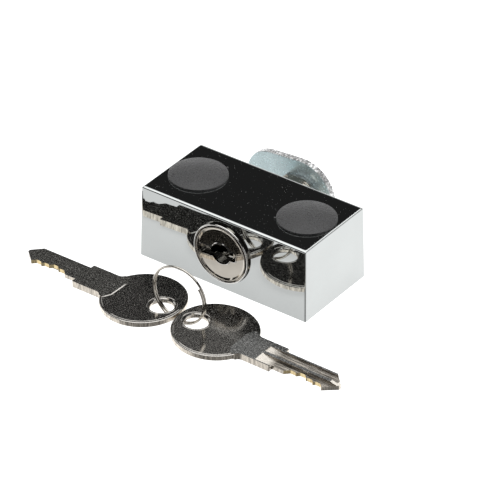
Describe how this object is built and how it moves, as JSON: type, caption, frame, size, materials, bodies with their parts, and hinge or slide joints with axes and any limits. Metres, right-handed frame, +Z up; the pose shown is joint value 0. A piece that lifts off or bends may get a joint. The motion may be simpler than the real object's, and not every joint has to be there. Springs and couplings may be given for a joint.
{
  "type": "surface-mounted keyed cam lock",
  "caption": "Disc-tumbler cam lock in a chromed block that screws down to a flat surface, with a turning key plug, a locking cam behind it and spare keys on a wire ring.",
  "frame": {"origin": "centre of the block's flat mounting face", "axes": "+X along the block's length, +Y into its depth with the keyhole facing -Y, +Z up out of the mounting face"},
  "size_m": [0.1216, 0.0855, 0.0277],
  "materials": {
    "chrome_block": "bright mirror chrome over a smooth casting",
    "dark_plastic": "fine matte grain, dark grey",
    "screw_steel": "plain plated steel",
    "lock_nickel": "bright warm nickel",
    "blue_zinc": "pale blue zinc plating",
    "zinc_casting": "as-cast zinc alloy",
    "wafer_brass": "stamped, slightly dull",
    "spring_steel": "drawn wire",
    "ring_steel": "bright drawn wire",
    "key_nickel": "nickel plating over brass, brass bare at the cuts"
  },
  "bodies": {
    "block": {"housing": "chrome_block", "hole_plug_left": "dark_plastic", "hole_plug_right": "dark_plastic", "mounting_screw_left": "screw_steel", "mounting_screw_right": "screw_steel", "lock_barrel": "lock_nickel", "barrel_nut": "blue_zinc"},
    "turning_plug": {"plug": "zinc_casting", "face_cap": "lock_nickel", "wafer_spring_1": "spring_steel", "wafer_spring_2": "spring_steel", "wafer_spring_3": "spring_steel", "wafer_spring_4": "spring_steel", "wafer_spring_5": "spring_steel", "stop_washer": "screw_steel", "cam": "blue_zinc", "cam_lock_washer": "screw_steel", "cam_screw": "blue_zinc"},
    "wafer_1": {"wafer_1": "wafer_brass"},
    "wafer_2": {"wafer_2": "wafer_brass"},
    "wafer_3": {"wafer_3": "wafer_brass"},
    "wafer_4": {"wafer_4": "wafer_brass"},
    "wafer_5": {"wafer_5": "wafer_brass"},
    "ring": {"key_ring": "ring_steel"},
    "key_one": {"key_one": "key_nickel"},
    "key_two": {"key_two": "key_nickel"}
  },
  "joints": [
    {"name": "plug_turn", "type": "hinge", "parent": "block", "child": "turning_plug", "pos_m": [0, 0, 0.0131], "axis": [0, 1, 0], "range_deg": [0, 90]},
    {"name": "wafer_1_slide", "type": "slide", "parent": "turning_plug", "child": "wafer_1", "axis": [0.9969, 0, 0.0785], "range_m": [-0.0009, 0]},
    {"name": "wafer_2_slide", "type": "slide", "parent": "turning_plug", "child": "wafer_2", "axis": [0.9969, 0, 0.0785], "range_m": [-0.0009, 0]},
    {"name": "wafer_3_slide", "type": "slide", "parent": "turning_plug", "child": "wafer_3", "axis": [0.9969, 0, 0.0785], "range_m": [-0.0009, 0]},
    {"name": "wafer_4_slide", "type": "slide", "parent": "turning_plug", "child": "wafer_4", "axis": [0.9969, 0, 0.0785], "range_m": [-0.0009, 0]},
    {"name": "wafer_5_slide", "type": "slide", "parent": "turning_plug", "child": "wafer_5", "axis": [0.9969, 0, 0.0785], "range_m": [-0.0009, 0]},
    {"name": "key_set_lift", "type": "slide", "parent": "block", "child": "ring", "axis": [0, 0, 1], "range_m": [0, 0.045]},
    {"name": "key_one_tilt", "type": "hinge", "parent": "ring", "child": "key_one", "pos_m": [0.0007, -0.0396, 0.0035], "axis": [0, -1, 0], "range_deg": [0, 14]},
    {"name": "key_two_tilt", "type": "hinge", "parent": "ring", "child": "key_two", "pos_m": [0.0007, -0.039, 0.0035], "axis": [0, 1, 0], "range_deg": [0, 14]}
  ],
  "couplings": [
    {"joint": "wafer_2_slide", "follows": "wafer_1_slide", "ratio": 1},
    {"joint": "wafer_3_slide", "follows": "wafer_1_slide", "ratio": 1},
    {"joint": "wafer_4_slide", "follows": "wafer_1_slide", "ratio": 1},
    {"joint": "wafer_5_slide", "follows": "wafer_1_slide", "ratio": 1}
  ]
}
